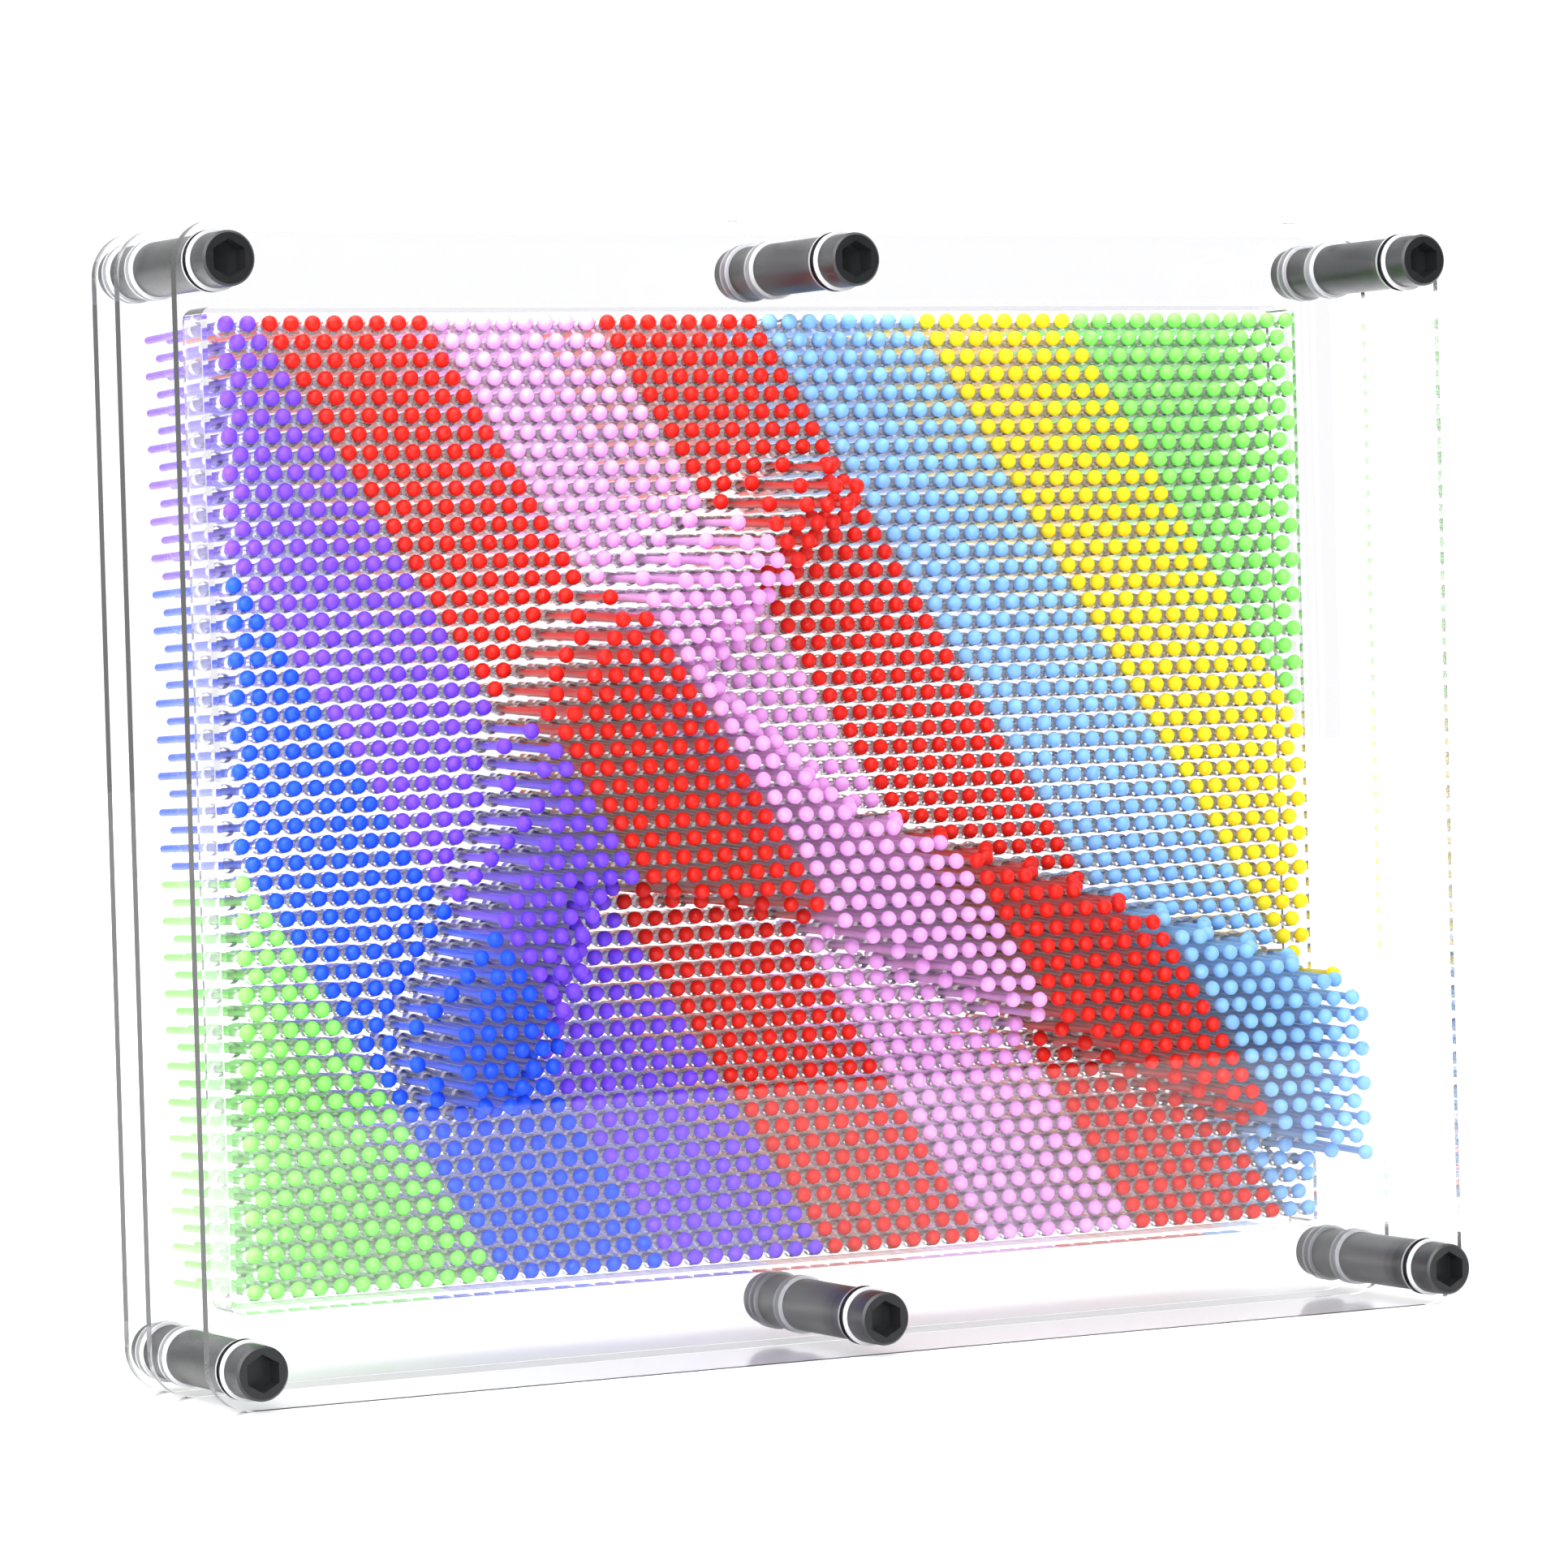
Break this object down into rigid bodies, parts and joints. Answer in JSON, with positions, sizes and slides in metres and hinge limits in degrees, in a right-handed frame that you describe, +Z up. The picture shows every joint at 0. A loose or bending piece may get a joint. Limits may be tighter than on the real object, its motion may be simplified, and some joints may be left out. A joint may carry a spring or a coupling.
{
  "type": "pin art impression toy",
  "caption": "Desktop pin art board: a bed of coloured ball-headed pins that slide through two clear guide plates behind a clear cover, on six black posts.",
  "frame": {"origin": "middle of the width and of the whole depth, on the surface that the plates stand on", "axes": "+X across the board to the right as seen from the front, -Y out of the front, where the ball heads face, +Z up"},
  "size_m": [0.254, 0.0674, 0.202],
  "materials": {
    "clear_acrylic": "polished",
    "clear_nylon": "moulded",
    "black_nylon": "moulded satin",
    "green_pin": "moulded gloss",
    "royal_blue_pin": "moulded gloss",
    "purple_pin": "moulded gloss",
    "red_pin": "moulded gloss",
    "pink_pin": "moulded gloss",
    "light_blue_pin": "moulded gloss",
    "yellow_pin": "moulded gloss"
  },
  "bodies": {
    "frame": {"cover_plate": "clear_acrylic", "front_guide_plate": "clear_acrylic", "back_guide_plate": "clear_acrylic", "field_rim": "clear_acrylic", "clear_washers": "clear_nylon", "socket_screws": "black_nylon", "long_spacers": "black_nylon", "short_spacers": "black_nylon", "closed_nuts": "black_nylon"},
    "pins_green_left_flat": {"pins_green_left_flat": "green_pin"},
    "pins_royal_blue_flat": {"pins_royal_blue_flat": "royal_blue_pin"},
    "pins_purple_flat": {"pins_purple_flat": "purple_pin"},
    "pins_red_left_flat": {"pins_red_left_flat": "red_pin"},
    "pins_pink_flat": {"pins_pink_flat": "pink_pin"},
    "pins_red_right_flat": {"pins_red_right_flat": "red_pin"},
    "pins_light_blue_flat": {"pins_light_blue_flat": "light_blue_pin"},
    "pins_yellow_flat": {"pins_yellow_flat": "yellow_pin"},
    "pins_green_right_flat": {"pins_green_right_flat": "green_pin"},
    "pins_royal_blue_level_1": {"pins_royal_blue_level_1": "royal_blue_pin"},
    "pins_royal_blue_level_2": {"pins_royal_blue_level_2": "royal_blue_pin"},
    "pins_purple_level_1": {"pins_purple_level_1": "purple_pin"},
    "pins_purple_level_2": {"pins_purple_level_2": "purple_pin"},
    "pins_red_left_level_1": {"pins_red_left_level_1": "red_pin"},
    "pins_red_left_level_2": {"pins_red_left_level_2": "red_pin"},
    "pins_pink_level_1": {"pins_pink_level_1": "pink_pin"},
    "pins_pink_level_2": {"pins_pink_level_2": "pink_pin"},
    "pins_red_right_level_1": {"pins_red_right_level_1": "red_pin"},
    "pins_red_right_level_2": {"pins_red_right_level_2": "red_pin"},
    "pins_light_blue_level_1": {"pins_light_blue_level_1": "light_blue_pin"},
    "pins_light_blue_level_2": {"pins_light_blue_level_2": "light_blue_pin"},
    "pins_yellow_level_2": {"pins_yellow_level_2": "yellow_pin"}
  },
  "joints": [
    {"name": "push_green_left_flat", "type": "slide", "parent": "frame", "child": "pins_green_left_flat", "axis": [0, -1, 0], "range_m": [0, 0.02]},
    {"name": "push_royal_blue_flat", "type": "slide", "parent": "frame", "child": "pins_royal_blue_flat", "axis": [0, -1, 0], "range_m": [0, 0.02]},
    {"name": "push_purple_flat", "type": "slide", "parent": "frame", "child": "pins_purple_flat", "axis": [0, -1, 0], "range_m": [0, 0.02]},
    {"name": "push_red_left_flat", "type": "slide", "parent": "frame", "child": "pins_red_left_flat", "axis": [0, -1, 0], "range_m": [0, 0.02]},
    {"name": "push_pink_flat", "type": "slide", "parent": "frame", "child": "pins_pink_flat", "axis": [0, -1, 0], "range_m": [0, 0.02]},
    {"name": "push_red_right_flat", "type": "slide", "parent": "frame", "child": "pins_red_right_flat", "axis": [0, -1, 0], "range_m": [0, 0.02]},
    {"name": "push_light_blue_flat", "type": "slide", "parent": "frame", "child": "pins_light_blue_flat", "axis": [0, -1, 0], "range_m": [0, 0.02]},
    {"name": "push_yellow_flat", "type": "slide", "parent": "frame", "child": "pins_yellow_flat", "axis": [0, -1, 0], "range_m": [0, 0.02]},
    {"name": "push_green_right_flat", "type": "slide", "parent": "frame", "child": "pins_green_right_flat", "axis": [0, -1, 0], "range_m": [0, 0.02]},
    {"name": "push_royal_blue_level_1", "type": "slide", "parent": "frame", "child": "pins_royal_blue_level_1", "axis": [0, -1, 0], "range_m": [-0.0006, 0.0122]},
    {"name": "push_royal_blue_level_2", "type": "slide", "parent": "frame", "child": "pins_royal_blue_level_2", "axis": [0, -1, 0], "range_m": [-0.0108, 0]},
    {"name": "push_purple_level_1", "type": "slide", "parent": "frame", "child": "pins_purple_level_1", "axis": [0, -1, 0], "range_m": [-0.0033, 0.01]},
    {"name": "push_purple_level_2", "type": "slide", "parent": "frame", "child": "pins_purple_level_2", "axis": [0, -1, 0], "range_m": [-0.0125, 0]},
    {"name": "push_red_left_level_1", "type": "slide", "parent": "frame", "child": "pins_red_left_level_1", "axis": [0, -1, 0], "range_m": [-0.0006, 0.0101]},
    {"name": "push_red_left_level_2", "type": "slide", "parent": "frame", "child": "pins_red_left_level_2", "axis": [0, -1, 0], "range_m": [-0.0102, 0]},
    {"name": "push_pink_level_1", "type": "slide", "parent": "frame", "child": "pins_pink_level_1", "axis": [0, -1, 0], "range_m": [-0.0006, 0.0112]},
    {"name": "push_pink_level_2", "type": "slide", "parent": "frame", "child": "pins_pink_level_2", "axis": [0, -1, 0], "range_m": [-0.011, 0]},
    {"name": "push_red_right_level_1", "type": "slide", "parent": "frame", "child": "pins_red_right_level_1", "axis": [0, -1, 0], "range_m": [-0.001, 0.0102]},
    {"name": "push_red_right_level_2", "type": "slide", "parent": "frame", "child": "pins_red_right_level_2", "axis": [0, -1, 0], "range_m": [-0.0106, 0]},
    {"name": "push_light_blue_level_1", "type": "slide", "parent": "frame", "child": "pins_light_blue_level_1", "axis": [0, -1, 0], "range_m": [-0.0006, 0.0102]},
    {"name": "push_light_blue_level_2", "type": "slide", "parent": "frame", "child": "pins_light_blue_level_2", "axis": [0, -1, 0], "range_m": [-0.0123, 0]},
    {"name": "push_yellow_level_2", "type": "slide", "parent": "frame", "child": "pins_yellow_level_2", "axis": [0, -1, 0], "range_m": [-0.0105, 0.0094]}
  ]
}
